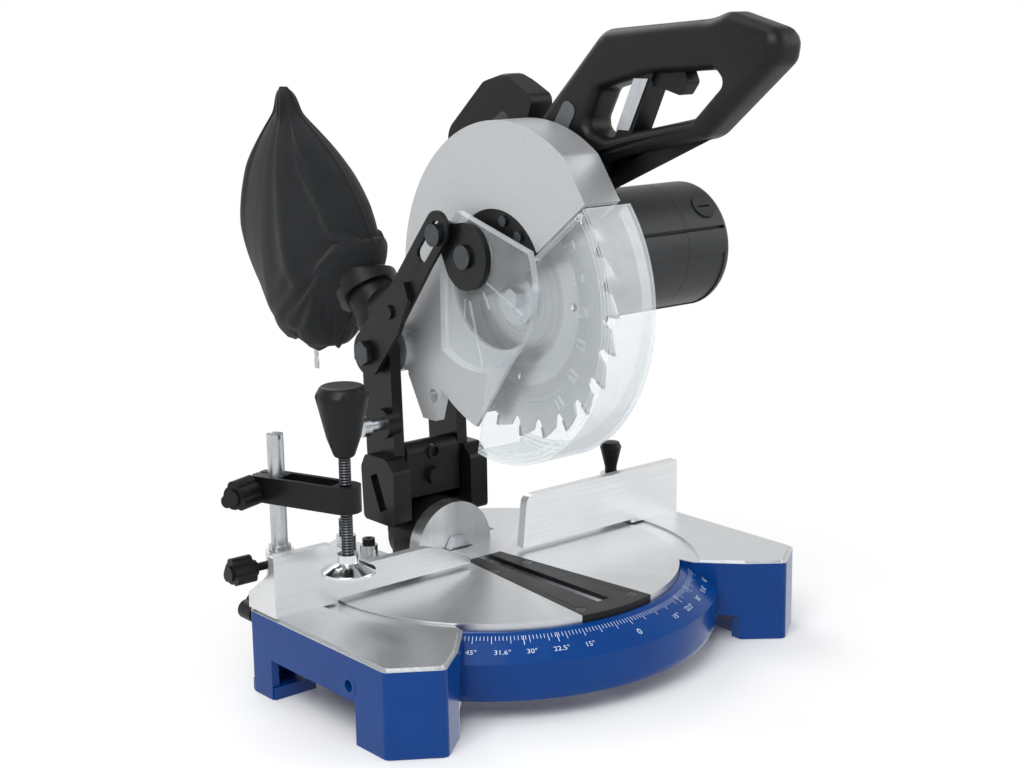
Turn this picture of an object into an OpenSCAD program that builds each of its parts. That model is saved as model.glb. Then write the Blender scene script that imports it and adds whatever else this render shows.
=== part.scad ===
// Compact mitre saw, drawn as the separate pieces it is put together from.
// +X operator's right, +Y away from the operator, +Z up, bench at Z = 0.
// Inside the modules Y = 0 is the fence face; at_bench() moves the origin
// to the middle of the four bench bolts.

/* [Blade] */
// Saw blade diameter
blade_d = 210; // [205:1:212]
// Number of carbide teeth
blade_teeth = 24; // [16:2:40]
// Thickness of the blade plate
plate_t = 1.8; // [1.4:0.1:2.2]
// Width of the cut made by the tips
kerf = 2.6; // [2.4:0.1:3.2]

/* [Table] */
// Height of the table above the bench
table_h = 63; // [61:0.5:65]
// Radius of the turntable
turntable_r = 143; // [141:0.5:144]
// Thickness of the turntable plate
turntable_t = 13; // [12:0.5:14]
// Thickness of the kerf insert
insert_t = 4; // [3:0.5:5]
// Width of the slot for the blade
slot_w = 11; // [10:0.5:14]

/* [Base] */
// Half the width of the base
base_half = 200; // [197:0.5:203]
// Wall thickness of the base casting
wall = 6; // [5:0.5:7]
// Sideways spacing of the bench bolts
bolt_dx = 364; // [360:1:368]
// Front to back spacing of the bench bolts
bolt_dy = 144; // [142:1:146]
// Diameter of the bench bolt holes
bolt_hole = 8.5; // [7:0.5:9]
// Diameter of the support bar holes
bar_hole = 8.4; // [6:0.2:9]

/* [Fence] */
// Height of the fence above the table
fence_h = 45; // [42:0.5:48]
// Thickness of the fence
fence_t = 7.5; // [6:0.5:8]

/* [Head] */
// Height of the chop hinge
hinge_z = 219; // [218:0.5:220]
// Radius of the hinge pin
pin_r = 6; // [5:0.25:6.5]
// How far the upper guard reaches past the blade
guard_over = 13; // [12:0.25:13.5]
// Width of the upper guard
guard_w = 33; // [32:0.5:34]
// How far the clear lower guard reaches past the blade
lower_over = 16.8; // [16.5:0.1:18]

/* [Motor] */
// Radius of the motor housing
motor_r = 48; // [46:0.5:49]
// Far end of the motor
motor_end = 158; // [156:0.5:160]

/* [Clamp] */
// Diameter of the clamp post
post_d = 12; // [11:0.5:13]
// Height of the top of the post
post_top = 190; // [186:1:196]
// Diameter of the clamp screw
screw_d = 8.5; // [8:0.5:9]

/* [Fits] */
// Gap all round a turning shaft
run = 0.05; // [0.03:0.01:0.09]
// Gap between faces of neighbouring bodies
gap = 0.3; // [0.3:0.05:0.4]

/* [View] */
// Which piece to show

/* [Hidden] */
$fn = 64;
pivot_y = bolt_dy / 2 - 22;
blade_r = blade_d / 2;
guard_r = blade_r + guard_over;
lower_r = blade_r + lower_over;
arbor = [-36, 274];
hinge = [100, hinge_z];
shell = [-34, 286];
swing = [-12.5, 305];
tie = [12.5, 319.5];
gear_n = 50;
pinion_n = 12;
motor = [arbor[0] - 15.1, arbor[1] + 27];
half_w = guard_w / 2;
lower_in = lower_r - 2.4;
ledge_z = table_h - turntable_t - gap;
laser_z = table_h + 38;
post = [-178, 25];
arm_a = 20.2;
arm_l = 60;
rod = [post[0] + arm_l * sin(arm_a), post[1] - arm_l * cos(arm_a)];
fence_bolt_at = [[-156, 24], [-187, 12.5], [172, 22], [187, 12.5]];
blue = [0.04, 0.27, 0.58];
steel = [0.75, 0.76, 0.78];
cast = [0.8, 0.81, 0.82];
black = [0.1, 0.1, 0.11];

function unit(v) = v / norm(v);
function pol(c, r, a) = [c[0] - r * cos(a), c[1] + r * sin(a)];
function arc(c, r, a, b, n) = [for (i = [0 : n]) pol(c, r, a + (b - a) * i / n)];
function flat(p) = [p[0], p[1]];
function inset(p, d) = let (n = len(p)) [for (i = [0 : n - 1])
  let (a = unit(p[i] - p[(i + n - 1) % n]),
    b = unit(p[(i + 1) % n] - p[i]),
    u = [-a[1], a[0]],
    v = [-b[1], b[0]])
  p[i] + (u + v) * d / (1 + u * v)];
function about(p, c, k) = [for (q = p) c + (q - c) * k];
// Corners given as [y, z, radius] become short arcs.
function soft(p, n = 4) = let (m = len(p)) [for (i = [0 : m - 1])
  let (q = flat(p[i]),
    a = unit(flat(p[(i + m - 1) % m]) - q),
    b = unit(flat(p[(i + 1) % m]) - q),
    r = p[i][2],
    h = acos(a * b) / 2)
  each r == 0 ? [q] : let (c = q + unit(a + b) * r / sin(h),
    s = q + a * r / tan(h) - c,
    e = q + b * r / tan(h) - c)
    [for (k = [0 : n]) c + r * unit(s * (1 - k / n) + e * k / n)]];

module at_bench() {
  translate([0, pivot_y, 0]) children();
}

// A profile drawn in Y and Z, from x0 to x1.
module side(x0, x1) {
  translate([x0, 0, 0]) rotate([90, 0, 90]) linear_extrude(x1 - x0) children();
}

module xcyl(x0, x1, r, p) {
  translate([x0, p[0], p[1]]) rotate([0, 90, 0]) cylinder(r = r, h = x1 - x0);
}

module ycyl(y0, y1, r, x, z) {
  translate([x, y1, z]) rotate([90, 0, 0]) cylinder(r = r, h = y1 - y0);
}

module zcyl(z0, z1, r, p) {
  translate([p[0], p[1], z0]) cylinder(r = r, h = z1 - z0);
}

// Turned about the X line through p: local radius and local z = -X.
module turned(p, from = 0, sweep = 360) {
  translate([0, p[0], p[1]]) rotate([90, 0, -90]) rotate([0, 0, from])
    rotate_extrude(angle = sweep) children();
}

// A skin through outlines [x, points] standing one behind the other.
module skin(rings) {
  n = len(rings[0][1]);
  pts = [for (r = rings) for (q = r[1]) [r[0], q[0], q[1]]];
  last = (len(rings) - 1) * n;
  polyhedron(points = pts, faces = concat(
    [[for (i = [0 : n - 1]) i]],
    [[for (i = [n - 1 : -1 : 0]) last + i]],
    [for (k = [0 : len(rings) - 2]) for (i = [0 : n - 1]) let (j = (i + 1) % n)
      [k * n + i, (k + 1) * n + i, (k + 1) * n + j, k * n + j]]));
}

module pair() {
  children();
  mirror([1, 0, 0]) children();
}

// Base

wing = [[104, -60], [113, -104], [140, -133], [165, -153], [base_half - 1, -130],
  [base_half, 36], [104, 36]];

module wing_body() {
  difference() {
    linear_extrude(table_h - 1.5) polygon(soft([for (p = wing) [p[0], p[1], 5]]));
    translate([0, 0, -1]) linear_extrude(table_h - 6.5) polygon(inset(wing, wall));
    translate([90, -96, -1]) cube([140, 104, 31]);
    translate([90, -100, -1]) cube([60, 160, 31]);
    translate([100, 12, -1]) cube([66, 60, 31]);
    translate([100, -180, -1]) cube([38, 90, 20]);
  }
  linear_extrude(9) intersection() {
    polygon(inset(wing, 1));
    union() {
      translate([164, 6]) square([60, 40]);
      translate([146, -170]) square([80, 73]);
    }
  }
  intersection() {
    translate([0, 0, table_h - 2]) linear_extrude(2) difference() {
      polygon(soft([for (p = inset(wing, 3)) [p[0], p[1], 5]]));
      circle(r = 159);
    }
    translate([0, -300, 0]) cube([400, 600, 100]);
  }
}

module scale_ring() {
  intersection() {
    rotate_extrude($fn = 96) polygon([[126, ledge_z - 7], [126, ledge_z],
      [turntable_r + 0.5, ledge_z], [turntable_r + 0.5, table_h - 5.5], [147, table_h - 5.5],
      [172, table_h - 19], [172, 22], [169, 16], [164, 16], [164, 36], [147, 36]]);
    translate([-300, -300, 0]) cube([600, 336, 100]);
  }
}

module pivot_bridge() {
  difference() {
    translate([-150, -24, 16]) cube([300, 48, 12]);
    translate([-96, -14, 15]) cube([56, 28, 14]);
    translate([40, -14, 15]) cube([56, 28, 14]);
  }
  zcyl(16, 32, 24, [0, 0]);
}

module base_casting() {
  color(blue) difference() {
    union() {
      pair() wing_body();
      scale_ring();
      pivot_bridge();
      pair() translate([124, -24, 16]) cube([12, 48, ledge_z - 16]);
      pair() xcyl(base_half - 34, base_half - 0.5, 8, [-89, 40]);
      zcyl(40, table_h - 3, 11, post);
      translate([post[0] - 9, post[1], 46]) cube([18, 10.8, 15]);
    }
    translate([0, 0, ledge_z]) cylinder(r = turntable_r + 0.5, h = 40, $fn = 96);
    for (s = [-1, 1]) for (y = [22, 22 - bolt_dy]) zcyl(-1, 12, bolt_hole / 2, [s * bolt_dx / 2, y]);
    xcyl(-base_half - 2, base_half + 2, bar_hole / 2, [-89, 40]);
    zcyl(43, table_h + 1, post_d / 2 + run, post);
    ycyl(post[1], 40, 4 + run, post[0], 54);
    zcyl(10, 40, 6 + run, [0, 0]);
    for (p = fence_bolt_at) zcyl(table_h - 8, table_h + 1, 2.55, p);
  }
}

module pivot_bolt() {
  color(steel) {
    zcyl(6, ledge_z - 8, 6, [0, 0]);
    translate([0, 0, 6]) cylinder(r = 11, h = 9.7, $fn = 6);
    zcyl(ledge_z - 8, ledge_z - 2, 10, [0, 0]);
  }
}

module fence_front(points) {
  translate([0, fence_t, 0]) rotate([90, 0, 0]) linear_extrude(fence_t) polygon(points);
}

module fence_end(x) {
  top = table_h + fence_h;
  side(x, x + 6) polygon([[0.5, table_h], [0.5, top - 1], [4, top - 1],
    [8, top - 14], [36, table_h + 11], [36, table_h]]);
}

module left_fence() {
  top = table_h + fence_h;
  low = table_h + 3;
  color(cast) difference() {
    union() {
      fence_front(soft([[-24, low, 0], [-24, low + 5, 1], [-62, table_h + 24, 50], [-122, table_h + 24, 12],
        [-149, top, 12], [-199, top, 1], [-199, table_h, 0], [-146, table_h, 0], [-146, low, 0]], 5));
      fence_end(-199);
      translate([-199, 0.5, table_h]) cube([53, 35.5, 7]);
      zcyl(table_h, 104, 10.5, post);
    }
    zcyl(table_h - 1, 110, post_d / 2 + run, post);
    for (p = fence_bolt_at) zcyl(table_h - 1, table_h + 8, 2.75, p);
    xcyl(-215, post[0], 3 + run, [25, 95]);
  }
}

module right_fence() {
  top = table_h + fence_h;
  low = table_h + 3;
  color(cast) difference() {
    union() {
      fence_front(soft([[29, low, 1], [146, low, 0], [146, table_h, 0], [199, table_h, 0],
        [199, top, 1], [34, top, 7]]));
      fence_end(193);
      translate([146, 0.5, table_h]) cube([53, 35.5, 7]);
      zcyl(table_h, 100, 9, [150, 29]);
    }
    zcyl(table_h - 1, 110, 4 + run, [150, 29]);
    for (p = fence_bolt_at) zcyl(table_h - 1, table_h + 8, 2.75, p);
  }
}

module fence_bolts() {
  color(black) for (p = fence_bolt_at) difference() {
    union() {
      zcyl(table_h - 7, table_h + 7.2, 2.5, p);
      zcyl(table_h + 7, table_h + 12, 4.2, p);
    }
    translate([p[0], p[1], table_h + 9]) cylinder(r = 2.2, h = 4, $fn = 6);
  }
}

module trilobe(r, h) {
  linear_extrude(h) union() {
    circle(r = r * 0.72);
    for (a = [0, 120, 240]) rotate(a) translate([r * 0.62, 0]) circle(r = r * 0.38);
  }
}

// A star knob on a stud, grip end outward along local z.
module star_knob(r, h, stud_r, stud_l) {
  translate([0, 0, -stud_l]) cylinder(r = stud_r, h = stud_l + 2);
  cylinder(r = r * 0.55, h = 5);
  translate([0, 0, 4]) trilobe(r, h - 4);
  translate([0, 0, h - 0.01]) cylinder(r = r * 0.5, h = 2);
}

module rear_lock_knob() {
  color(black) translate([post[0], 36.3, 54]) rotate([-90, 0, 0]) rotate([0, 0, 180])
    star_knob(19, 20, 4, 4.8);
}

module fence_thumbscrew() {
  color(black) {
    zcyl(table_h + 1, 104, 4, [150, 29]);
    translate([150, 29, 100.3]) rotate_extrude() polygon([[0, 0], [5, 0], [5, 5], [9, 22],
      [7, 26], [0, 27]]);
  }
}

// Clamp

module clamp_post() {
  color(steel) difference() {
    union() {
      zcyl(43.3, post_top, post_d / 2, post);
      zcyl(104.3, 108, 8, post);
    }
    translate([post[0], post[1], post_top]) cube([2, 20, 7], center = true);
  }
}

module arm_frame() {
  translate([post[0], post[1], 0]) rotate([0, 0, arm_a]) children();
}

module clamp_arm() {
  h0 = 141;
  h1 = 160;
  color(black) arm_frame() difference() {
    translate([0, 0, h0]) linear_extrude(h1 - h0) union() {
      difference() {
        union() {
          translate([-11, -arm_l]) square([22, arm_l + 14]);
          translate([0, -arm_l]) circle(r = 11);
        }
        translate([-7.2, -arm_l + 7]) square([14.4, arm_l + 20]);
        translate([0, -arm_l]) circle(r = screw_d / 2 + 0.05);
      }
      difference() {
        translate([-7.5, -8]) square([15, 24]);
        circle(r = post_d / 2 + run);
        translate([-1, 4]) square([2, 20]);
      }
    }
    translate([-20, 11.5, 150]) rotate([0, 90, 0]) cylinder(r = 2.55, h = 40);
  }
}

module arm_lock_knob() {
  color(black) arm_frame() translate([-11.3, 11.5, 150]) rotate([0, -90, 0]) star_knob(12, 24, 2.5, 16);
}

module post_lock_knob() {
  color(black) translate([-199.3, 25, 95]) rotate([0, -90, 0]) star_knob(11, 20, 3, 14);
}

module clamp_screw() {
  color(black) zcyl(103, 182, screw_d / 2, rod);
}

module clamp_knob() {
  color(black) difference() {
    translate([rod[0], rod[1], 180]) rotate_extrude() polygon(soft([[0, 0, 0], [7, 0, 3], [12, 14, 10],
      [19, 44, 4], [15, 51, 4], [0, 51, 0]]));
    for (a = [0 : 40 : 320]) translate([rod[0], rod[1], 0]) rotate([0, 0, a]) zcyl(190, 240, 3, [20.2, 0]);
    zcyl(179, 182.02, screw_d / 2 + 0.02, rod);
  }
}

module clamp_foot() {
  color(steel) translate([rod[0], rod[1], 0]) difference() {
    rotate_extrude() polygon(soft([[0, 96, 0], [19.5, 96, 0], [19.5, 98, 1], [12, 102, 6], [7.5, 104, 1],
      [7.5, 110, 0], [0, 110, 0]]));
    zcyl(103 - gap, 112, screw_d / 2 + run, [0, 0]);
  }
}

// Turntable

insert_shape = [[-34.5, -turntable_r - 7], [34.5, -turntable_r - 7], [17, 14], [-17, 14]];
lip_y = -turntable_r + 5.5;
insert_screw_at = [[-25, -128], [25, -128], [-16, -20], [16, -20]];
stop_a = [-68, 104];
stop_b = [-60, 84];

module turntable() {
  color(cast) difference() {
    union() {
      zcyl(ledge_z + gap, table_h, turntable_r, [0, 0], $fn = 96);
      zcyl(32.3, ledge_z + 1, 26, [0, 0]);
      ycyl(50, 62.7, 36, 0, table_h);
      translate([-36, 50, ledge_z + gap]) cube([72, 12.7, turntable_t]);
      zcyl(table_h - 1, table_h + 11, 8, stop_a);
      zcyl(table_h - 1, table_h + 6, 7, stop_b);
    }
    translate([-150, -150, 20]) cube([300, 300, 12.3]);
    translate([-52, 63, 20]) cube([104, 120, 80]);
    translate([0, 0, table_h - insert_t - 0.1]) linear_extrude(20) polygon(inset(insert_shape, -0.15));
    translate([-slot_w / 2 - 4, -126, ledge_z - 8.2]) cube([slot_w + 8, 138, 60]);
    zcyl(ledge_z - 8.3, table_h, 10.6, [0, 0]);
    translate([0, 0, table_h - 10.1]) linear_extrude(20) intersection() {
      polygon(inset(insert_shape, -0.15));
      translate([-60, lip_y - 19.85]) square([120, 20]);
    }
    translate([-11.5, 41, table_h - 11]) cube([23, 9.2, 30]);
    zcyl(20, table_h, 6 + run, [0, 0]);
    ycyl(40, 70, 6 + run, 0, table_h);
    for (p = insert_screw_at) zcyl(table_h - 11, table_h + 7, 2, p);
    zcyl(table_h - 11, table_h + 17, 3 + run, stop_a);
    zcyl(table_h - 11, table_h + 17, 2.5 + run, stop_b);
  }
}

module table_insert() {
  color(black) difference() {
    union() {
      translate([0, 0, table_h - insert_t]) linear_extrude(insert_t - 0.2) intersection() {
        polygon(insert_shape);
        circle(r = turntable_r - 0.1, $fn = 96);
      }
      translate([0, 0, table_h - 10]) linear_extrude(9.8) intersection() {
        polygon(insert_shape);
        circle(r = turntable_r - 0.1, $fn = 96);
        translate([-60, lip_y - 20]) square([120, 20]);
      }
    }
    translate([-slot_w / 2 + 1, -124, table_h - 23]) cube([slot_w, 150, 40]);
    for (p = insert_screw_at) zcyl(table_h - 11, table_h + 7, 2.2, p);
    for (p = insert_screw_at) zcyl(table_h - 2, table_h + 7, 4.2, p);
  }
}

module insert_screws() {
  color(steel) for (p = insert_screw_at) {
    zcyl(table_h - 9, table_h - 1.9, 1.9, p);
    difference() {
      zcyl(table_h - 1.95, table_h - 0.4, 4, p);
      translate([p[0], p[1], table_h - 0.4]) cube([5, 1, 1], center = true);
    }
  }
}

module bevel_stop_bolts() {
  color(black) {
    zcyl(table_h - 10, table_h + 19, 3, stop_a);
    translate([stop_a[0], stop_a[1], table_h + 11.2]) cylinder(r = 6, h = 5, $fn = 6);
    translate([stop_a[0], stop_a[1], table_h + 18]) cylinder(r = 6, h = 6, $fn = 6);
    zcyl(table_h - 10, table_h + 7, 2.5, stop_b);
    difference() {
      zcyl(table_h + 6.2, table_h + 11, 5, stop_b);
      translate([stop_b[0], stop_b[1], table_h + 8]) cylinder(r = 2.4, h = 4, $fn = 6);
    }
  }
}

module bevel_bolt() {
  color(steel) {
    ycyl(46, 126, 6, 0, table_h);
    translate([0, 49.7, table_h]) rotate([90, 0, 0]) cylinder(r = 10, h = 7, $fn = 6);
  }
}

module bevel_lock_lever() {
  color(black) difference() {
    union() {
      ycyl(108.3, 124, 13, 0, table_h);
      translate([0, 116.5, table_h]) rotate([0, 100, 0]) cylinder(r1 = 5, r2 = 7.5, h = 42);
    }
    ycyl(100, 127, 6 + run, 0, table_h);
  }
}

// Tilting bracket

module ear_profile() {
  difference() {
    union() {
      polygon([[78, 128], [116, 128], [119, hinge[1]], [81, hinge[1]]]);
      translate(hinge) circle(r = 19);
    }
    translate(hinge) circle(r = pin_r + run);
  }
}

module tilt_bracket() {
  color(black) difference() {
    union() {
      ycyl(63, 84, 36, 0, table_h);
      side(-47, -30) polygon(soft([[66, 83, 4], [108, 83, 4], [110, 126, 6], [104, 137, 6],
        [76, 137, 6], [66, 128, 6]]));
      side(30, 47) polygon(soft([[66, 83, 4], [108, 83, 4], [110, 126, 6], [104, 137, 6],
        [76, 137, 6], [66, 128, 6]]));
      translate([-46, 96, 86]) cube([92, 12, 46]);
      translate([-20, 83, table_h - 20]) cube([40, 25, 50]);
      ycyl(80, 108, 24, 0, table_h);
      side(-36.4, -26.4) ear_profile();
      side(26.4, 36.4) ear_profile();
      xcyl(-42, -30, 12, [88, 163]);
    }
    translate([-47, 87, 108]) rotate([-24, 0, 0]) cube([8, 10, 30], center = true);
    translate([47, 87, 108]) rotate([-24, 0, 0]) cube([8, 10, 30], center = true);
    ycyl(60, 130, 6 + run, 0, table_h);
    xcyl(-60, -20, 5 + run, [88, 163]);
    xcyl(-50, 50, pin_r + run, hinge);
  }
}

module hinge_pin() {
  color(steel) {
    xcyl(-45.2, 44, pin_r, hinge);
    translate([-51, hinge[0], hinge[1]]) rotate([0, 90, 0]) cylinder(r = 10, h = 6, $fn = 6);
    translate([37, hinge[0], hinge[1]]) rotate([0, 90, 0]) cylinder(r = 10, h = 7, $fn = 6);
  }
}

spring_wire = 0.9;
spring_pitch = 2.3;

module return_spring() {
  turns = 1.6;
  n = 8;
  m = round(turns * n);
  r = 14;
  x0 = 21.3;
  mid = [for (i = [0 : m]) let (a = 100 + 360 * i / n)
    [x0 + spring_pitch * i / n, hinge[0] + r * cos(a), hinge[1] + r * sin(a), a]];
  ring = [for (q = mid) for (k = [0 : 5]) let (w = spring_wire)
    [q[0] + w * sin(60 * k), q[1] + w * cos(60 * k) * cos(q[3]), q[2] + w * cos(60 * k) * sin(q[3])]];
  color(steel) polyhedron(points = ring, faces = concat(
    [[5, 4, 3, 2, 1, 0]],
    [[for (k = [0 : 5]) m * 6 + k]],
    [for (i = [0 : m - 1]) for (k = [0 : 5]) let (j = (k + 1) % 6)
      [i * 6 + k, i * 6 + j, (i + 1) * 6 + j, (i + 1) * 6 + k]]));
  echo(least_gap = spring_pitch - 2 * spring_wire);
}

module laser_module() {
  color(black) difference() {
    union() {
      translate([-26, 76, laser_z]) cube([52, 19.7, 136 - laser_z]);
      xcyl(-25, 25, 9, [85.5, 136]);
      ycyl(73.5, 79, 6, 0, 136);
    }
    ycyl(72, 77, 4, 0, 136);
    ycyl(70, 86, 3 + run, -1, 117);
  }
}

module laser_knob() {
  color(black) {
    ycyl(70, 75.7, 7, -1, 117);
    ycyl(75, 85, 3, -1, 117);
  }
}

module lock_pin() {
  color(steel) {
    xcyl(-55, -24, 5, [88, 163]);
    xcyl(-61.5, -54.5, 7.5, [88, 163]);
  }
}

// Saw head

guard_top = 54;
guard_tail = 244;
tail_hole = [hinge[0] - 48.1, hinge[1] - 31.1];

module guard_plan(r, spread) {
  p = pol(shell, r, guard_top);
  q = pol(shell, 112 - (guard_r - r), 36);
  difference() {
    intersection() {
      translate(shell) circle(r = r, $fn = 96);
      polygon(concat([pol(shell, 46, 300 + spread / 2)], [pol(shell, 46, 33 - spread)],
        [for (a = [36 - spread, 80, 120, 160, 200, guard_tail + spread]) pol(shell, 220, a)]));
    }
    polygon([p, q, q + (q - p) * 2, pol(shell, 300, 30), pol(shell, 300, guard_top)]);
  }
}

module port_line() {
  translate([0, 70, 272]) rotate([64.7, 0, 0]) children();
}

module upper_guard() {
  color(steel) difference() {
    union() {
      side(-half_w, half_w) guard_plan(guard_r, 0);
      difference() {
        union() {
          side(-16, 16) polygon([[20, 320], [66, 282], [104, 238], [112, 205], [88, 203],
            [60, 206], [20, 240]]);
          xcyl(-20, 20, 19, hinge);
        }
        port_line() translate([0, 0, -90]) cylinder(r = 20, h = 66);
      }
      side(-half_w, -8) polygon([[86, 235], [84, 200], [66, 168], [50, 168], [30, 228]]);
      port_line() translate([0, 0, -46]) cylinder(r = 16.5, h = 44);
      xcyl(half_w - 1, 21.5, 40, arbor);
    }
    side(-half_w + 3, half_w - 3) union() {
      guard_plan(guard_r - 4, 12);
      translate(arbor) circle(r = blade_r + 3, $fn = 96);
    }
    xcyl(-half_w - 1, -half_w + 6, 52, [-28, 288]);
    port_line() translate([0, 0, -50]) cylinder(r = 12.5, h = 80);
    xcyl(-30, 30, pin_r + run, hinge);
    xcyl(-30, 0, 5.4, tail_hole);
    xcyl(10, 30, 16 + run, arbor);
  }
}

module guard_carrier() {
  color(black) difference() {
    union() {
      side(-half_w + 0.2, -half_w + 2.9) polygon(concat(arc([-28, 288], 51.8, 20, 190, 30),
        [[4, 268], [-20, 276], [-50, 292]]));
      xcyl(-28.6, -9.5, 9, swing);
      side(-half_w + 3.1, -9) polygon(soft([[30, 330, 6], [-30, 330, 6], [-34, 296, 6], [30, 290, 6]]));
    }
    xcyl(-40, -12, 4 + run, swing);
    for (p = [[-55, 322], [-38, 332]]) xcyl(-30, -5, 2.05, p);
  }
}

module carrier_screws() {
  color(steel) for (p = [[-55, 322], [-38, 332]]) {
    xcyl(-half_w - 2, -half_w + 0.1, 4, p);
    xcyl(-half_w, -half_w + 3, 2, p);
  }
}

module guard_bolt() {
  color(steel) {
    xcyl(-34.2, -12.5, 4, swing);
    xcyl(-36.6, -34, 9, swing);
  }
}

// Top of the gear housing, from front to back, where both handles stand.
roof = [[-92, 351], [-12, 351], [60, 346], [78, 344]];

module gear_housing() {
  color(black) difference() {
    union() {
      xcyl(21.5, 47.9, 46, arbor);
      xcyl(22.5, 48, motor_r, motor);
      side(22, 47) polygon(concat([[-98, 310]], roof, [[80, 322], [4, 252], [-70, 250]]));
    }
    xcyl(20, 44, 28, arbor);
    xcyl(20, 42, 9, motor);
    xcyl(40, 50, 7.05, motor);
    xcyl(40, 50, 5.05, arbor);
  }
}

module motor_shape(x0, x1) {
  turned(motor) polygon(concat([[0, -x0], [motor_r, -x0]],
    x1 > 130 ? concat([[motor_r, 7 - x1]],
      [for (a = [15 : 15 : 75]) [motor_r - 7 + 7 * cos(a), 7 - x1 - 7 * sin(a)]],
      [[motor_r - 7, -x1]]) : [[motor_r, -x1]],
    [[0, -x1]]));
}

// The side is stepped back below a fold line.
module motor_fold() {
  turned(motor, -72, 69) polygon([[motor_r - 1, -58], [motor_r + 1, -58],
    [motor_r + 1, 8 - motor_end], [motor_r - 1, 8 - motor_end]]);
}

module motor_housing() {
  color(black) difference() {
    motor_shape(48, 112);
    xcyl(47, 113, motor_r - 4, motor);
    translate([50, motor[0] - motor_r - 4, motor[1] + 15.8]) cube([70, 10, 2.4]);
    motor_fold();
  }
}

module motor_end_cap() {
  color(black) difference() {
    motor_shape(112, motor_end);
    xcyl(111, 130, motor_r - 4, motor);
    xcyl(129, 148, 26, motor);
    xcyl(147, 154, 11 + run, motor);
    translate([108, motor[0] - motor_r - 4, motor[1] + 15.8]) cube([44, 10, 2.4]);
    motor_fold();
    brush_place() zcyl(20, 60, 6 + run, [0, 0]);
    brush_place() zcyl(44, 60, 10, [0, 0]);
  }
}

// Front-top and rear-bottom, in line through the commutator.
module brush_place() {
  for (a = [0, 180]) translate([138, motor[0], motor[1]]) rotate([48 + a, 0, 0]) children();
}

module brush_caps() {
  color(black) brush_place() difference() {
    union() {
      zcyl(34, 45, 6, [0, 0]);
      zcyl(44.3, 49, 9.7, [0, 0]);
    }
    translate([0, 0, 49]) cube([12, 1.6, 3], center = true);
  }
}

module brushes() {
  color(black) brush_place() translate([-2.5, -3, 12.4]) cube([5, 6, 20]);
}

module stator() {
  color(black) difference() {
    xcyl(60, 106, motor_r - 4.2, motor);
    xcyl(59, 107, 26, motor);
  }
}

module bearings() {
  color(steel) {
    difference() {
      xcyl(13, 21.4, 16, arbor);
      xcyl(12, 23, 7.5 + run, arbor);
    }
    difference() {
      xcyl(42.2, 47.9, 7, motor);
      xcyl(41, 49, 4 + run, motor);
    }
    difference() {
      xcyl(147.2, 153.8, 11, motor);
      xcyl(146, 155, 4 + run, motor);
    }
  }
}

// D-handle and carrying handle

grip = soft([[-14, 351, 0], [-20, 396, 26], [-97, 467, 18], [-200, 474, 60], [-214, 479, 18],
  [-262, 466, 12], [-258, 446, 11], [-196, 396, 22], [-120, 381, 60], [-92, 373, 8], [-88, 351, 0]]);
grip_hole = soft([[-78, 398, 7], [-93, 425, 9], [-140, 437, 20], [-205, 441, 7], [-213, 433, 5],
  [-186, 409, 14], [-130, 398, 30], [-100, 392, 8]]);
strut = [[-104, 388], [-131, 442], [-147, 442], [-120, 388]];
handle_x = 38;
handle_w = 15;
switch_box = [[-136, 441], [-100, 441], [-100, 459], [-136, 459]];

module grip_half(x, s) {
  flare = [[0, 8.5], [1, 5.5], [3, 2.6], [6, 0.8], [9, 0], [handle_w, 0]];
  bell = [[-0.5, 6], [1, 3.6], [3, 1.6], [6, 0.4], [8, 0], [handle_w + 1, 0]];
  difference() {
    union() {
      difference() {
        if (s < 0) skin([for (r = flare) [x - handle_w + r[0], inset(grip, r[1])]]);
        else skin([for (i = [5 : -1 : 0]) [x + handle_w - flare[i][0], inset(grip, flare[i][1])]]);
        if (s < 0) skin([for (r = bell) [x - handle_w + r[0], inset(grip_hole, -r[1])]]);
        else skin([for (i = [5 : -1 : 0]) [x + handle_w - bell[i][0], inset(grip_hole, -bell[i][1])]]);
      }
      side(s < 0 ? x - 9 : x, s < 0 ? x : x + 9) intersection() {
        polygon(strut);
        polygon(inset(grip, 2));
      }
    }
    side(handle_x - 8, handle_x + 8) polygon(switch_box);
    side(handle_x - 6, handle_x + 6) polygon([[-178, 428], [-139, 428], [-139, 451], [-178, 451]]);
  }
}

module handle_left() {
  color(black) grip_half(handle_x, -1);
}

module handle_right() {
  color(black) grip_half(handle_x + 0.1, 1);
}

module handle_pad() {
  color([0.3, 0.3, 0.31]) side(handle_x - handle_w - 0.9, handle_x - handle_w - 0.1)
    polygon(soft([[-56, 385, 6], [-44, 393, 6], [-62, 419, 6], [-74, 411, 6]]));
}

module strut_plate() {
  color(steel) side(handle_x - 10.2, handle_x - 9.1)
    polygon([[-109, 398], [-127, 434], [-141, 434], [-122, 398]]);
}

module switch_block() {
  color(black) side(handle_x - 7.8, handle_x + 7.8) polygon(inset(switch_box, 0.2));
}

module trigger() {
  color(black) side(handle_x - 5.7, handle_x + 5.7) polygon(soft([[-141, 445, 1.5], [-169, 445, 1.5],
    [-175, 432, 3], [-168, 423, 3], [-148, 428, 8], [-140.5, 432, 2]]));
}

strap = soft([[79, 336, 0], [80, 390, 16], [36, 428, 12], [12, 435, 10], [-22, 418, 7], [-15, 399, 6],
  [-9, 340, 0], [11, 340, 0], [4, 397, 8], [10, 409, 6], [56, 380, 12], [58, 336, 0]]);

module carry_handle() {
  color(black) difference() {
    intersection() {
      side(23, 49) polygon(strap);
      translate([0, 120, 0]) rotate([90, 0, 0]) linear_extrude(220)
        polygon(soft([[24, 330, 0], [48, 330, 0], [46, 436, 9], [26, 436, 9]]));
    }
    side(20, 52) polygon(concat([[-92, 300]], roof, [[96, 342], [96, 300]]));
  }
}

// Dust outlet

elbow = [142, 238];

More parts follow.
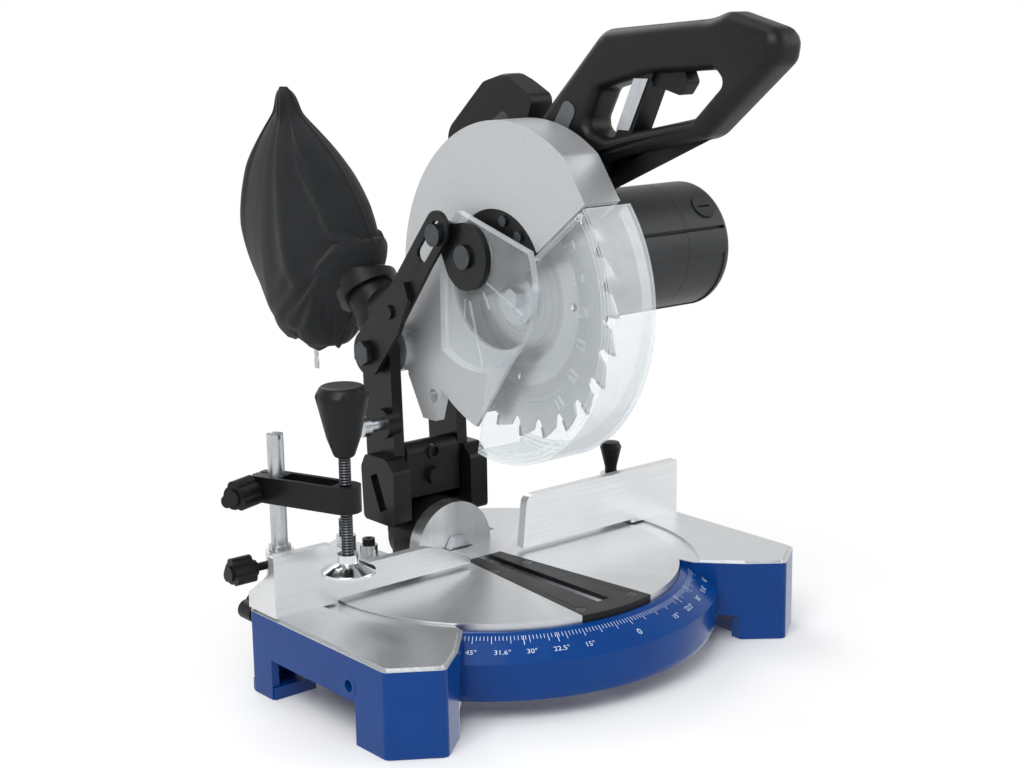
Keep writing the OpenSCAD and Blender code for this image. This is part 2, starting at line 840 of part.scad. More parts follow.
module port_frame() {
  translate([0, elbow[0], elbow[1]]) rotate([-41.3, 0, 0]) children();
}

module dust_port() {
  color(black) difference() {
    union() {
      port_line() translate([0, 0, -80]) cylinder(r = 19.5, h = 54);
      translate([0, elbow[0], elbow[1]]) sphere(r = 22);
      port_frame() cylinder(r = 21, h = 40);
    }
    port_line() translate([0, 0, -80]) cylinder(r = 16.6, h = 60);
    translate([0, elbow[0], elbow[1]]) sphere(r = 18.6);
    port_frame() cylinder(r = 17.4, h = 41);
  }
}

module bag_collar() {
  color(black) port_frame() difference() {
    translate([0, 0, 22]) cylinder(r = 27, h = 9);
    translate([0, 0, 21]) cylinder(r = 21.2, h = 11);
  }
}

bag = soft([[240, 194, 8], [274, 213, 40], [318, 242, 30], [350, 300, 40], [336, 358, 40], [278, 421, 8],
  [258, 410, 20], [190, 366, 20], [148, 316, 20], [141, 282, 4], [181, 237, 4], [206, 207, 10]], 2);

module dust_bag() {
  c = [250, 310];
  color(black) difference() {
    skin([for (r = [[-40, 0.4], [-34, 0.66], [-22, 0.88], [0, 1], [22, 0.88], [34, 0.66], [40, 0.4]])
      [r[0], about(bag, c, r[1])]]);
    port_frame() translate([0, 0, -20]) cylinder(r = 27.3, h = 61);
  }
}

// Lower guard and its lever

guard_from = -102;
guard_to = 38;

// Outline of the raised dish on the guard's side, drawn in by d all round.
module dish_plan(d) {
  intersection() {
    translate([-14, 288]) circle(r = 69 - d, $fn = 96);
    polygon(inset([[-77, 314.5], [-110, 305], [-110, 200], [24.5, 200], [24.5, 312], [2, 337]], d));
  }
}

module guard_rib(p, q) {
  translate([-29.4, p[0], p[1]]) rotate([atan2(q[1] - p[1], q[0] - p[0]), 0, 0])
    translate([0, 0, -0.6]) cube([1.4, norm(q - p), 1.2]);
}

// A small raised U, open towards the arbor.
module guard_mark(a) {
  translate([0, arbor[0], arbor[1]]) rotate([-a, 0, 0]) side(-23.8, -22.2) difference() {
    translate([-99, -3.5]) square([9, 7]);
    translate([-97.6, -2.1]) square([9, 4.2]);
  }
}

module lower_guard() {
  color([0.85, 0.88, 0.9, 0.5]) difference() {
    union() {
      turned(arbor, guard_from, guard_to - guard_from) polygon([[lower_in, -20], [lower_r, -20],
        [lower_r, 23], [24, 23], [24, 20.8], [lower_in, 20.8]]);
      turned(arbor, guard_from, guard_to - guard_from) polygon([[110, -20], [110, -18], [lower_in + 1, -18],
        [lower_in + 1, -20]]);
      side(-28.4, -22.5) dish_plan(0);
      translate([0, arbor[0], arbor[1]]) rotate([1.4 - guard_to, 0, 0]) translate([-27, -118, -1.3])
        cube([5, 58, 2.6]);
    }
    side(-26.2, -20) dish_plan(2.2);
    xcyl(-30, -10, 9 + run, swing);
  }
  color([0.85, 0.88, 0.9, 0.5]) difference() {
    union() {
      xcyl(-28.6, -25.9, 27, swing);
      xcyl(-28.2, -18, 14, swing);
      for (a = [30, 16, 2, -12, -27, -43]) guard_mark(a);
      guard_rib([-12.2, 272], [-25.5, 224.3]);
      guard_rib([-32.6, 287.6], [-72.5, 269]);
      guard_rib([-6.9, 272.7], [-5.5, 257.8]);
      guard_rib([-28.2, 280.5], [-35.2, 268.8]);
    }
    xcyl(-30, -10, 9 + run, swing);
  }
}

module guard_plate() {
  color(black) side(-33.6, -28.7) difference() {
    union() {
      translate(swing) circle(r = 25);
      translate(tie) circle(r = 10);
      polygon([swing + [24, -6.6], tie + [9.7, -2.5], tie + [-4, 9.2], swing + [-9, 23.2]]);
    }
    translate(swing) circle(r = 4 + run);
    translate(tie) circle(r = 2.6);
  }
}

module tie_screw() {
  color(steel) {
    xcyl(-44, -30, 2.5, tie);
    xcyl(-36.8, -33.7, 8, tie);
    xcyl(-44.2, -40.6, 8.5, tie);
  }
}

reach = unit(tie - hinge);
across = [-reach[1], reach[0]] * -1;
slot_mid = [for (r = [109.5, 137]) hinge + reach * r + across * 2.75];

module lever_slot(r) {
  for (p = slot_mid) translate(p) circle(r = r);
  polygon([slot_mid[0] + across * r, slot_mid[1] + across * r,
    slot_mid[1] - across * r, slot_mid[0] - across * r]);
}

module guard_lever() {
  color(black) side(-40.2, -37.2) difference() {
    union() {
      lever_slot(13.5);
      translate(hinge) circle(r = 16);
      polygon([hinge + across * 15.5, slot_mid[0] + across * 13.4,
        slot_mid[0] - across * 13.4, hinge - across * 15.5]);
    }
    lever_slot(6);
    translate(hinge) circle(r = pin_r + run);
    translate(hinge + reach * 48) circle(r = 2.6);
  }
}

module lever_plate() {
  color(black) side(-44.6, -40.5) difference() {
    union() {
      translate(hinge) circle(r = 18);
      polygon([hinge + across * 17.9, hinge + reach * 62 + across * 13, hinge + reach * 80 + across * 2,
        hinge + reach * 74 - across * 10, hinge + reach * 44 - across * 18, hinge - across * 17.9]);
    }
    translate(hinge) circle(r = pin_r + run);
    translate(hinge + reach * 48) circle(r = 2.6);
  }
  color(steel) {
    xcyl(-44.7, -37.4, 2.5, hinge + reach * 48);
    xcyl(-47, -44.6, 5.5, hinge + reach * 48);
  }
}

// Blade and drive

function tooth(i) = let (p = 360 / blade_teeth, a = i * p) [
  pol([0, 0], blade_r - 0.6, a),
  pol([0, 0], blade_r - 3, a + p * 0.24),
  pol([0, 0], blade_r - 6, a + p * 0.52),
  pol([0, 0], blade_r - 13, a + p * 0.66),
  pol([0, 0], blade_r - 15, a + p * 0.78),
  pol([0, 0], blade_r - 13, a + p * 0.9)];

module saw_blade() {
  color(steel) translate([0, arbor[0], arbor[1]]) side(-plate_t / 2, plate_t / 2) difference() {
    polygon([for (i = [0 : blade_teeth - 1]) each tooth(i)]);
    circle(r = 8);
    for (a = [0 : 90 : 270]) rotate(a) translate([60, 0]) circle(r = 3);
    for (i = [0 : blade_teeth - 1]) rotate(-i * 360 / blade_teeth) translate([-blade_r - 1, -2.57])
      square([9.02, 2.24]);
  }
}

module carbide_tips() {
  color(steel) translate([0, arbor[0], arbor[1]]) for (i = [0 : blade_teeth - 1])
    rotate([-i * 360 / blade_teeth, 0, 0]) translate([-kerf / 2, -blade_r, -2.55]) cube([kerf, 8, 2.2]);
}

module blade_flanges() {
  color(steel) {
    xcyl(plate_t / 2 + 0.02, 8, 22, arbor);
    xcyl(-5, -plate_t / 2 - 0.02, 20, arbor);
    translate([-10, arbor[0], arbor[1]]) rotate([0, 90, 0]) cylinder(r = 8, h = 5.01, $fn = 6);
  }
}

module spindle() {
  color(steel) {
    xcyl(8, 44, 7.5, arbor);
    xcyl(43, 47.6, 5, arbor);
  }
}

function gear_plan(n, s) = [for (i = [0 : n - 1]) let (p = 360 / n, a = (i + s) * p, r = n / 2)
  each [pol([0, 0], r - 1.15, a - p * 0.27), pol([0, 0], r + 0.75, a - p * 0.1),
    pol([0, 0], r + 0.75, a + p * 0.1), pol([0, 0], r - 1.15, a + p * 0.27)]];

// Direction from the arbor to the motor shaft, where the teeth mesh.
mesh_a = atan2(motor[1] - arbor[1], arbor[0] - motor[0]);

module drive_gear() {
  color(steel) side(24, 38) translate(arbor) difference() {
    polygon(gear_plan(gear_n, mesh_a / (360 / gear_n)));
    circle(r = 7.52);
  }
}

module armature() {
  color(steel) {
    side(24, 41) translate(motor) polygon(gear_plan(pinion_n, (mesh_a + 180) / (360 / pinion_n) + 0.5));
    xcyl(40, 153, 4, motor);
    xcyl(60, 106, 25, motor);
    xcyl(130, 145, 12, motor);
  }
}

module motor_fan() {
  color(black) difference() {
    union() {
      xcyl(50, 52, 40, motor);
      for (a = [0 : 30 : 330]) translate([52, motor[0], motor[1]]) rotate([a, 0, 0])
        translate([-0.1, 14, -0.8]) cube([5, 25, 1.6]);
      xcyl(50, 57, 10, motor);
    }
    xcyl(49, 58, 4, motor);
  }
}

at_bench() base_casting();
at_bench() left_fence();
at_bench() right_fence();
at_bench() fence_bolts();
at_bench() pivot_bolt();
at_bench() rear_lock_knob();
at_bench() fence_thumbscrew();
at_bench() clamp_post();
at_bench() post_lock_knob();
at_bench() clamp_arm();
at_bench() arm_lock_knob();
at_bench() clamp_screw();
at_bench() clamp_knob();
at_bench() clamp_foot();
at_bench() turntable();
at_bench() table_insert();
at_bench() insert_screws();
at_bench() bevel_stop_bolts();
at_bench() bevel_bolt();
at_bench() bevel_lock_lever();
at_bench() tilt_bracket();
at_bench() hinge_pin();
at_bench() return_spring();
at_bench() laser_module();
at_bench() laser_knob();
at_bench() lock_pin();
at_bench() upper_guard();
at_bench() guard_carrier();
at_bench() carrier_screws();
at_bench() guard_bolt();
at_bench() gear_housing();
at_bench() motor_housing();
at_bench() motor_end_cap();
at_bench() brush_caps();
at_bench() brushes();
at_bench() stator();
at_bench() bearings();
at_bench() handle_left();
at_bench() handle_right();
at_bench() handle_pad();
at_bench() strut_plate();
at_bench() carry_handle();
at_bench() switch_block();
at_bench() dust_port();
at_bench() bag_collar();
at_bench() dust_bag();
at_bench() trigger();
at_bench() lower_guard();
at_bench() guard_plate();
at_bench() tie_screw();
at_bench() guard_lever();
at_bench() lever_plate();
at_bench() saw_blade();
at_bench() carbide_tips();
at_bench() blade_flanges();
at_bench() spindle();
at_bench() drive_gear();
at_bench() armature();
at_bench() motor_fan();
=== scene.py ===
# %% [markdown]
# # A compact mitre saw
# The imported model is the frame: every piece already stands where the drawing puts it, in metres.
# The lesson gives those pieces their finishes, and makes what a solid can't show: the cloth bag,
# the printed scale and the zip pull. The table turns about a pivot 50 mm behind the origin, and places
# below are measured from it. The box of the bare solids is kept and printed at the end. The box of the
# bare solids is kept for the size test.

# %% Load the frame
import math

import bmesh
import bpy
import numpy as np
from mathutils import Matrix, Vector


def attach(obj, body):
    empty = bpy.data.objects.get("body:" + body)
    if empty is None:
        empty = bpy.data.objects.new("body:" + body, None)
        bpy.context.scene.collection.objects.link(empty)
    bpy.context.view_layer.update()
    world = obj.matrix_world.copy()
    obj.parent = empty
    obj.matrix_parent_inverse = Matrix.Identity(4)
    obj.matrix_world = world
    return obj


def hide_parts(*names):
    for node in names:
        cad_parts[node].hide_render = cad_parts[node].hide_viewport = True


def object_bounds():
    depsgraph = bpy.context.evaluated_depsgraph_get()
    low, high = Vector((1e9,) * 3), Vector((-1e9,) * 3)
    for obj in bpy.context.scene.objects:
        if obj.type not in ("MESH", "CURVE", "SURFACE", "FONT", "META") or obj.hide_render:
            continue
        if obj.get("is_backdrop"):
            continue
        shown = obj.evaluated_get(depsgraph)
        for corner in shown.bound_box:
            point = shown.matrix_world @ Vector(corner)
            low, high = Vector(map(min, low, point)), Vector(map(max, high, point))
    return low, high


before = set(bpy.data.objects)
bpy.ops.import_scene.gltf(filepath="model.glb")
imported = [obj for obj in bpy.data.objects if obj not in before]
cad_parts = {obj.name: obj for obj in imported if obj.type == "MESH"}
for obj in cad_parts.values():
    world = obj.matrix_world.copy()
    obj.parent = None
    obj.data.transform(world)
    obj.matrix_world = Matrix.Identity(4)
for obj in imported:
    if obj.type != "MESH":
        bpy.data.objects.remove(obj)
solid_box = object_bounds()
pivot = Vector((0, 0.05, 0))

# %% [markdown]
# ## Camera
# The saw is seen from the operator's left, a little above the table. A long lens keeps the round
# table from bulging. A Track To constraint could aim the camera but not roll it, and the picture is
# rolled by under a degree, so the three axes are written out.

# %% Camera
turn, pitch, roll = (math.radians(v) for v in (-39.51, 12.33, -0.87))
back = Vector((math.sin(turn) * math.cos(pitch), -math.cos(turn) * math.cos(pitch), math.sin(pitch)))
side = Vector((math.cos(turn), math.sin(turn), 0))
over = back.cross(side)
right = math.cos(roll) * side + math.sin(roll) * over
up = math.cos(roll) * over - math.sin(roll) * side
lens = bpy.data.cameras.new("long_lens")
lens.sensor_width = 36
focal_pixels, picture_width = 1739.8, 1024
lens.lens = focal_pixels / picture_width * lens.sensor_width
camera = bpy.data.objects.new("camera", lens)
stand = Vector((-0.8100, -0.9567, 0.4852))
camera.matrix_world = Matrix.Translation(stand) @ Matrix((right, up, back)).transposed().to_4x4()
bpy.context.scene.collection.objects.link(camera)
bpy.context.scene.camera = camera
print("camera at", tuple(round(v, 3) for v in camera.location), "lens", round(lens.lens, 1), "mm")

# %% [markdown]
# ## Colours and nodes
# Colours are written as they look on a screen, in hex. Shaders count in linear light, so one
# function converts them. A second small function adds a node with its settings and its links. Two more
# start a material and join its last nodes to the shader.

# %% Helpers
def ink(code):
    parts = [int(code[i:i + 2], 16) / 255 for i in (1, 3, 5)]
    return (*[v / 12.92 if v <= 0.04045 else ((v + 0.055) / 1.055) ** 2.4 for v in parts], 1)


def add(tree, kind, links=None, sockets=None, **settings):
    node = tree.nodes.new(kind)
    for key, value in settings.items():
        setattr(node, key, value)
    for key, value in (sockets or {}).items():
        node.inputs[key].default_value = value
    for key, out in (links or {}).items():
        tree.links.new(out, node.inputs[key])
    return node


def surface(name, code, **sockets):
    material = bpy.data.materials.new(name)
    material.use_nodes = True
    tree = material.node_tree
    shader = tree.nodes["Principled BSDF"]
    shader.inputs["Base Color"].default_value = ink(code)
    for key, value in sockets.items():
        shader.inputs[key.replace("_", " ")].default_value = value
    return material, tree, shader


def coat(tree, shader, tone, dull=None, bump=None):
    tree.links.new(tone.outputs[2], shader.inputs["Base Color"])
    if dull:
        tree.links.new(dull.outputs[0], shader.inputs["Roughness"])
    if bump:
        tree.links.new(bump.outputs[0], shader.inputs["Normal"])


print("white is", ink("#ffffff")[0], "mid grey is", round(ink("#808080")[0], 3))

# %% [markdown]
# ## Floor and light
# A product on white paper: a pale floor that keeps the soft shadow close to the feet and runs out to
# white further off, a world that is white to the camera, to gloss and through the clear guard, and
# four soft boxes. More light would also whiten the background, but would bleach the saw with it. The
# world dims overhead, so that level metal keeps its tone, and for plain light it is dim all over, so a
# colour comes out about as written.

# %% Floor
shadow_from, white_from = 0.14, 0.44
floor_half, floor_drop = 6, 0.0004
paper, tree, shader = surface("white_paper", "#f7f7f7", Roughness=0.8, Specular_IOR_Level=0.2)
path = add(tree, "ShaderNodeLightPath")
seen = add(tree, "ShaderNodeMath",
           {0: path.outputs["Is Glossy Ray"], 1: path.outputs["Is Transmission Ray"]}, operation="MAXIMUM")
where = add(tree, "ShaderNodeTexCoord")
far = add(tree, "ShaderNodeVectorMath", {0: where.outputs["Object"]}, operation="LENGTH")
fade = add(tree, "ShaderNodeMapRange", {0: far.outputs["Value"]}, {1: shadow_from, 2: white_from},
           interpolation_type="SMOOTHSTEP")
most = add(tree, "ShaderNodeMath", {0: fade.outputs[0], 1: path.outputs["Is Camera Ray"]},
           operation="MULTIPLY")
white = add(tree, "ShaderNodeMath", {0: seen.outputs[0], 1: most.outputs[0]}, operation="MAXIMUM")
glow = add(tree, "ShaderNodeEmission", sockets={"Color": (1, 1, 1, 1), "Strength": 1.0})
both = add(tree, "ShaderNodeMixShader", {0: white.outputs[0], 1: shader.outputs[0], 2: glow.outputs[0]})
tree.links.new(both.outputs[0], tree.nodes["Material Output"].inputs["Surface"])
sheet = bpy.data.meshes.new("floor")
corners = ((-1, -1), (1, -1), (1, 1), (-1, 1))
sheet.from_pydata([(x * floor_half, y * floor_half, 0) for x, y in corners], [], [(0, 1, 2, 3)])
floor = bpy.data.objects.new("floor", sheet)
floor.location.z = -floor_drop
sheet.materials.append(paper)
bpy.context.scene.collection.objects.link(floor)
floor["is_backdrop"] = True
print("the shadow fades out from", shadow_from, "to", white_from, "m")

# %% World
plain_light, dims_from, dims_to = 0.42, 0.15, 0.8
world = bpy.data.worlds.new("white_room")
world.use_nodes = True
tree = world.node_tree
path = add(tree, "ShaderNodeLightPath")
gloss = add(tree, "ShaderNodeMath",
            {0: path.outputs["Is Glossy Ray"], 1: path.outputs["Is Transmission Ray"]}, operation="MAXIMUM")
seen = add(tree, "ShaderNodeMath", {0: path.outputs["Is Camera Ray"], 1: gloss.outputs[0]},
           operation="MAXIMUM")
where = add(tree, "ShaderNodeTexCoord")
height = add(tree, "ShaderNodeSeparateXYZ", {0: where.outputs["Generated"]})
sky = add(tree, "ShaderNodeMapRange", {0: height.outputs["Z"]},
          {1: dims_from, 2: dims_to, 3: 1.0, 4: plain_light}, interpolation_type="SMOOTHSTEP")
amount = add(tree, "ShaderNodeMapRange", {0: seen.outputs[0], 4: sky.outputs[0]}, {3: plain_light})
tree.links.new(amount.outputs[0], tree.nodes["Background"].inputs["Strength"])
tree.nodes["Background"].inputs["Color"].default_value = (1, 1, 1, 1)
bpy.context.scene.world = world
bpy.context.scene.view_settings.view_transform = "Standard"
print("plain light is", plain_light, "of the white behind the saw")

# %% Soft boxes
aim = Vector((0, 0, 0.2))
soft_boxes = (
    ("key_box", (-1.3, -0.9, 1.7), 1.3, 34),
    ("fill_box", (1.6, -1.2, 1.2), 1.4, 11),
    ("rear_box", (0.3, 1.5, 1.6), 1.2, 12),
    ("top_box", (-0.3, 0.2, 2.0), 0.9, 4),
)
for name, place, size, power in soft_boxes:
    box = bpy.data.lights.new(name, "AREA")
    box.energy, box.size = power, size
    lamp = bpy.data.objects.new(name, box)
    lamp.location = place
    lamp.rotation_euler = (Vector(place) - aim).to_track_quat("Z", "Y").to_euler()
    bpy.context.scene.collection.objects.link(lamp)
print(len(soft_boxes), "soft boxes, aimed at", tuple(aim))

# %% [markdown]
# ## Enamel and bare metal on the base
# The base is sand-cast aluminium, sprayed with gloss enamel and then milled on top. One material does
# both, because it is one casting: above 61 mm the paint is gone. Two material slots could do it too, but
# then the faces have to be sorted. The paint pools over a cast skin, so it has a faint orange peel. The
# milled top has straight tool marks, 0.4 mm apart on the real one and drawn 1.2 mm apart so that they
# show.

# %% Cast base
milled_above = 0.0611
casting, tree, shader = surface("gloss_enamel_on_milled_casting", "#053a7e", Specular_IOR_Level=0.14,
                                Coat_Weight=0.1, Coat_Roughness=0.05)
where = add(tree, "ShaderNodeTexCoord")
place = add(tree, "ShaderNodeSeparateXYZ", {0: where.outputs["Object"]})
bare = add(tree, "ShaderNodeMath", {0: place.outputs["Z"]}, {1: milled_above}, operation="GREATER_THAN")
shade = add(tree, "ShaderNodeTexNoise", {0: where.outputs["Object"]}, {"Scale": 1000 / 45, "Detail": 3})
paint = add(tree, "ShaderNodeMix", {0: shade.outputs[0]}, {6: ink("#043274"), 7: ink("#064289")},
            data_type="RGBA")
stretch = add(tree, "ShaderNodeMapping", {0: where.outputs["Object"]},
              {"Scale": (1000 / 1.2, 1000 / 60, 1000 / 60)})
cuts = add(tree, "ShaderNodeTexNoise", {0: stretch.outputs[0]}, {"Scale": 1, "Detail": 4})
metal = add(tree, "ShaderNodeMix", {0: cuts.outputs[0]}, {6: ink("#bfc2c5"), 7: ink("#e6e8ea")},
            data_type="RGBA")
skin = add(tree, "ShaderNodeMix", {0: bare.outputs[0], 6: paint.outputs[2], 7: metal.outputs[2]},
           data_type="RGBA")
dull = add(tree, "ShaderNodeMapRange", {0: cuts.outputs[0]}, {3: 0.24, 4: 0.42})
rough = add(tree, "ShaderNodeMix", {0: bare.outputs[0], 3: dull.outputs[0]}, {2: 0.22})
peel = add(tree, "ShaderNodeTexNoise", {0: where.outputs["Object"]}, {"Scale": 1000 / 3.5, "Detail": 2})
relief = add(tree, "ShaderNodeMix", {0: bare.outputs[0], 2: peel.outputs[0], 3: cuts.outputs[0]})
bump = add(tree, "ShaderNodeBump", {"Height": relief.outputs[0]}, {"Strength": 0.12, "Distance": 0.0006})
coat(tree, shader, skin, rough, bump)
tree.links.new(bare.outputs[0], shader.inputs["Metallic"])
print(casting.name)

# %% [markdown]
# ## Machined aluminium
# The fences are cast and then milled along their length. The turntable is faced on a lathe, so its
# marks run in rings, and the light falls on it in soft wedges. An anisotropic shader could give such
# streaks, but it needs tangents. Here rings come from noise on the distance to the pivot, and straight
# marks from noise stretched along X. Both are drawn about 1 mm apart, coarser than real ones, to show.
# The soft wedges are painted sheen: noise on the angle round the pivot lightens and darkens the
# table's colour in broad sectors.

# %% Milled fences
milled, tree, shader = surface("milled_aluminium", "#d3d5d7", Metallic=0.85)
where = add(tree, "ShaderNodeTexCoord")
stretch = add(tree, "ShaderNodeMapping", {0: where.outputs["Object"]},
              {"Scale": (1000 / 80, 1000 / 1.0, 1000 / 1.0)})
cuts = add(tree, "ShaderNodeTexNoise", {0: stretch.outputs[0]}, {"Scale": 1, "Detail": 4})
cloud = add(tree, "ShaderNodeTexNoise", {0: where.outputs["Object"]}, {"Scale": 1000 / 30, "Detail": 3})
tone = add(tree, "ShaderNodeMix", {0: cuts.outputs[0]}, {6: ink("#d0d2d4"), 7: ink("#eeeff0")},
           data_type="RGBA")
dull = add(tree, "ShaderNodeMapRange", {0: cloud.outputs[0]}, {3: 0.3, 4: 0.46})
bump = add(tree, "ShaderNodeBump", {"Height": cuts.outputs[0]}, {"Strength": 0.1, "Distance": 0.0004})
coat(tree, shader, tone, dull, bump)
print(milled.name)

# %% Turned table
turned, tree, shader = surface("lathe_turned_aluminium", "#cfd1d3", Metallic=1.0)
where = add(tree, "ShaderNodeTexCoord")
centred = add(tree, "ShaderNodeVectorMath", {0: where.outputs["Object"]}, {1: pivot}, operation="SUBTRACT")
flat = add(tree, "ShaderNodeVectorMath", {0: centred.outputs[0]}, {1: (1, 1, 0)}, operation="MULTIPLY")
far = add(tree, "ShaderNodeVectorMath", {0: flat.outputs[0]}, operation="LENGTH")
place = add(tree, "ShaderNodeSeparateXYZ", {0: centred.outputs[0]})
angle = add(tree, "ShaderNodeMath", {0: place.outputs["Y"], 1: place.outputs["X"]}, operation="ARCTAN2")
ring = add(tree, "ShaderNodeTexNoise", {"W": far.outputs["Value"]}, {"Scale": 1000 / 0.9, "Detail": 3},
           noise_dimensions="1D")
# Painted sheen: noise on the angle round the pivot gives broad lighter and darker sectors of colour.
painted_sheen_wedge = add(tree, "ShaderNodeTexNoise", {"W": angle.outputs[0]}, {"Scale": 2.4, "Detail": 2},
            noise_dimensions="1D")
# The table's colour is mostly this painted sheen, with the turning rings under it.
mixed = add(tree, "ShaderNodeMix", {2: ring.outputs[0], 3: painted_sheen_wedge.outputs[0]}, {0: 0.72})
tone = add(tree, "ShaderNodeMix", {0: mixed.outputs[0]}, {6: ink("#a9acaf"), 7: ink("#eff0f1")},
           data_type="RGBA")
dull = add(tree, "ShaderNodeMapRange", {0: painted_sheen_wedge.outputs[0]}, {3: 0.24, 4: 0.44})
bump = add(tree, "ShaderNodeBump", {"Height": ring.outputs[0]}, {"Strength": 0.12, "Distance": 0.0004})
coat(tree, shader, tone, dull, bump)
print(turned.name)

# %% [markdown]
# ## Silver lacquer
# The upper guard is die-cast and sprayed with silver lacquer: fine flakes under a satin film. It is
# part metallic, and fine noise makes the flakes. Real ones are well under 0.1 mm, too small to show, so
# they are drawn at 0.7 mm.

# %% Silver guard
silver, tree, shader = surface("silver_flake_lacquer", "#c6c8ca", Metallic=0.55, Coat_Weight=0.2,
                               Coat_Roughness=0.3)
where = add(tree, "ShaderNodeTexCoord")
flake = add(tree, "ShaderNodeTexNoise", {0: where.outputs["Object"]}, {"Scale": 1000 / 0.7, "Detail": 2})
cloud = add(tree, "ShaderNodeTexNoise", {0: where.outputs["Object"]}, {"Scale": 1000 / 60, "Detail": 2})
tone = add(tree, "ShaderNodeMix", {0: flake.outputs[0]}, {6: ink("#a9acaf"), 7: ink("#cbcdcf")},
           data_type="RGBA")
dull = add(tree, "ShaderNodeMapRange", {0: cloud.outputs[0]}, {3: 0.34, 4: 0.46})
bump = add(tree, "ShaderNodeBump", {"Height": flake.outputs[0]}, {"Strength": 0.06, "Distance": 0.0003})
coat(tree, shader, tone, dull, bump)
print(silver.name)

# %% [markdown]
# ## Black plastics and black steel
# Housings, handles and knobs are glass-filled nylon from a spark-eroded mould, which leaves a fine
# leathery grain, 0.3 mm on the real one and drawn at 0.7 mm. The bracket, lever and clamp are steel
# and cast iron under satin black paint, smoother and a little glossier. Both are greyer in patches.
# The motor's barrel and its end are moulded in a greyer nylon than the rest. The pad on the handle is
# matt grey rubber, which scatters light and shows hardly any gloss; its grain is drawn at 0.8 mm.

# %% Black and grey nylon
nylons = {}
for name, low, high, shine in (
        ("spark_grained_black_nylon", "#0a0b0c", "#1a1b1d", 0.22),
        ("spark_grained_grey_nylon", "#1d1f20", "#303234", 0.3)):
    nylons[name], tree, shader = surface(name, low, Specular_IOR_Level=shine)
    where = add(tree, "ShaderNodeTexCoord")
    grain = add(tree, "ShaderNodeTexNoise", {0: where.outputs["Object"]},
                {"Scale": 1000 / 0.7, "Detail": 4})
    rub = add(tree, "ShaderNodeTexNoise", {0: where.outputs["Object"]}, {"Scale": 1000 / 35, "Detail": 3})
    tone = add(tree, "ShaderNodeMix", {0: rub.outputs[0]}, {6: ink(low), 7: ink(high)}, data_type="RGBA")
    dull = add(tree, "ShaderNodeMapRange", {0: rub.outputs[0]}, {3: 0.34, 4: 0.48})
    bump = add(tree, "ShaderNodeBump", {"Height": grain.outputs[0]}, {"Strength": 0.12, "Distance": 0.0003})
    coat(tree, shader, tone, dull, bump)
nylon, grey_nylon = nylons.values()
print(*nylons)

# %% Black paint on steel
blackened, tree, shader = surface("satin_black_painted_steel", "#0e0f10", Specular_IOR_Level=0.18,
                                  Coat_Weight=0.1, Coat_Roughness=0.18)
where = add(tree, "ShaderNodeTexCoord")
cloud = add(tree, "ShaderNodeTexNoise", {0: where.outputs["Object"]}, {"Scale": 1000 / 12, "Detail": 4})
tone = add(tree, "ShaderNodeMix", {0: cloud.outputs[0]}, {6: ink("#08090a"), 7: ink("#161718")},
           data_type="RGBA")
dull = add(tree, "ShaderNodeMapRange", {0: cloud.outputs[0]}, {3: 0.26, 4: 0.42})
bump = add(tree, "ShaderNodeBump", {"Height": cloud.outputs[0]}, {"Strength": 0.1, "Distance": 0.0006})
coat(tree, shader, tone, dull, bump)
print(blackened.name)

# %% Grey rubber
rubber, tree, shader = surface("matt_grey_rubber", "#4a4c4f", Roughness=0.62, Specular_IOR_Level=0.3)
where = add(tree, "ShaderNodeTexCoord")
grain = add(tree, "ShaderNodeTexNoise", {0: where.outputs["Object"]}, {"Scale": 1000 / 0.8, "Detail": 3})
tone = add(tree, "ShaderNodeMix", {0: grain.outputs[0]}, {6: ink("#54565a"), 7: ink("#66686c")},
           data_type="RGBA")
bump = add(tree, "ShaderNodeBump", {"Height": grain.outputs[0]}, {"Strength": 0.15, "Distance": 0.0003})
coat(tree, shader, tone, bump=bump)
print(rubber.name)

# %% [markdown]
# ## Bright steel
# The clamp post and the hidden shafts are zinc plated: a cool bright grey with faint cloudy patches.
# The clamp foot is polished and chromed, and the small screws are blackened. The blade is ground in
# rings round its bore, drawn 1.1 mm apart so that they show, with a brighter polished band half-way
# out, and its carbide teeth are duller.
# The clamp screw carries its thread as a ring pattern, 1.25 mm on the real one and drawn at 2 mm.
# Besides the bump, the rings are painted: painted shade in the roots, painted highlight on the crests.

# %% Zinc, chrome, carbide and blackened screws
bright = {}
for name, low, high, smoothest, dullest in (
        ("zinc_plated_steel", "#a9adb2", "#d2d5d8", 0.22, 0.4),
        ("polished_chrome", "#cfd2d4", "#eceeef", 0.07, 0.16),
        ("ground_carbide", "#7d8084", "#9da0a4", 0.3, 0.4),
        ("blackened_screw_steel", "#3d4043", "#5c5f63", 0.3, 0.44)):
    bright[name], tree, shader = surface(name, low, Metallic=1.0)
    where = add(tree, "ShaderNodeTexCoord")
    cloud = add(tree, "ShaderNodeTexNoise", {0: where.outputs["Object"]}, {"Scale": 1000 / 6, "Detail": 4})
    tone = add(tree, "ShaderNodeMix", {0: cloud.outputs[0]}, {6: ink(low), 7: ink(high)}, data_type="RGBA")
    dull = add(tree, "ShaderNodeMapRange", {0: cloud.outputs[0]}, {3: smoothest, 4: dullest})
    coat(tree, shader, tone, dull)
print(*bright)

